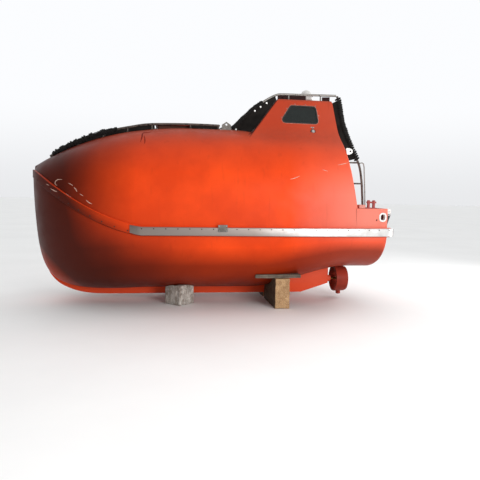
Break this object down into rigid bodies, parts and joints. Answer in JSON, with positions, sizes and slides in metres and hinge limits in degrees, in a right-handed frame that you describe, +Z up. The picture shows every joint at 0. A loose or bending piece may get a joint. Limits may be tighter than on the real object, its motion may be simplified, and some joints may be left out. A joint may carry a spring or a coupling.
{
  "type": "enclosed free-fall lifeboat on timber chocks",
  "caption": "Totally enclosed lifeboat with raised steering tower aft, aft door, top hatch, handrails, lifting lugs and steerable propeller nozzle, standing on timber chocks.",
  "frame": {"origin": "on the ground, under the middle of the boat's length and width", "axes": "+X to the bow, +Y to port, +Z up"},
  "size_m": [5.016, 2.2648, 3.1674],
  "materials": {
    "orange_gelcoat": "weathered orange-red gelcoat on glass-fibre laminate",
    "steel": "dull stainless steel",
    "rail_tube": "dark weathered tube",
    "white_paint": "white paint",
    "dark_glass": "dark window",
    "dark_red_paint": "dark red paint",
    "bronze": "dull bronze",
    "liner": "pale moulded liner",
    "black_plastic": "black",
    "timber": "rough sawn weathered timber"
  },
  "bodies": {
    "boat": {"hull": "orange_gelcoat", "canopy": "orange_gelcoat", "gunwale_band": "orange_gelcoat", "hatch_coaming": "orange_gelcoat", "step_port": "orange_gelcoat", "step_starboard": "orange_gelcoat", "rub_rail_port": "steel", "rub_rail_starboard": "steel", "rub_rail_stern": "steel", "rail_plate_port": "steel", "rail_plate_starboard": "steel", "door_hinges": "steel", "hatch_hinge": "steel", "fore_lug_port": "steel", "fore_lug_starboard": "steel", "side_lamp_port": "steel", "side_lamp_starboard": "steel", "canopy_rail_port": "rail_tube", "canopy_rail_starboard": "rail_tube", "tower_rail_port": "rail_tube", "tower_rail_starboard": "rail_tube", "aft_rail_port": "rail_tube", "aft_rail_starboard": "rail_tube", "aft_lug_port": "white_paint", "aft_lug_starboard": "white_paint", "stern_lug_port": "white_paint", "stern_lug_starboard": "white_paint", "fairlead_port": "white_paint", "fairlead_starboard": "white_paint", "roof_vent": "white_paint", "side_window_port": "dark_glass", "side_window_starboard": "dark_glass", "front_window_port": "dark_glass", "front_window_starboard": "dark_glass", "bollard_port": "dark_red_paint", "bollard_starboard": "dark_red_paint", "engine_block": "dark_red_paint", "cabin_floor": "liner", "bench_port": "liner", "bench_starboard": "liner", "helm_console": "liner", "helm_seat": "black_plastic", "chock_block_port": "timber", "chock_block_starboard": "timber", "chock_sleeper_port": "timber", "chock_sleeper_starboard": "timber", "chock_plank_port": "timber", "chock_plank_starboard": "timber"},
    "nozzle": {"nozzle": "dark_red_paint"},
    "propeller": {"propeller": "bronze"},
    "aft_door": {"aft_door": "orange_gelcoat", "door_window": "dark_glass", "door_handle": "steel"},
    "top_hatch": {"top_hatch": "orange_gelcoat"},
    "steering_wheel": {"steering_wheel": "black_plastic"}
  },
  "joints": [
    {"name": "nozzle_steer", "type": "hinge", "parent": "boat", "child": "nozzle", "pos_m": [-2.07, 0, 0.295], "axis": [0, 0, 1], "range_deg": [-35, 35]},
    {"name": "propeller_spin", "type": "hinge", "parent": "boat", "child": "propeller", "pos_m": [-2.07, 0, 0.295], "axis": [1, 0, 0], "continuous": true},
    {"name": "aft_door_hinge", "type": "hinge", "parent": "boat", "child": "aft_door", "pos_m": [-1.99457, 0.332, 1.45509], "axis": [-0.1695, 0, -0.9855], "range_deg": [0, 100]},
    {"name": "top_hatch_hinge", "type": "hinge", "parent": "boat", "child": "top_hatch", "pos_m": [0.812, 0, 2.55], "axis": [0, 1, 0], "range_deg": [0, 100]},
    {"name": "wheel_turn", "type": "hinge", "parent": "boat", "child": "steering_wheel", "pos_m": [-0.925, 0, 2.18], "axis": [1, 0, 0], "range_deg": [-420, 420]}
  ],
  "couplings": [
    {"joint": "wheel_turn", "follows": "nozzle_steer", "ratio": 12}
  ]
}
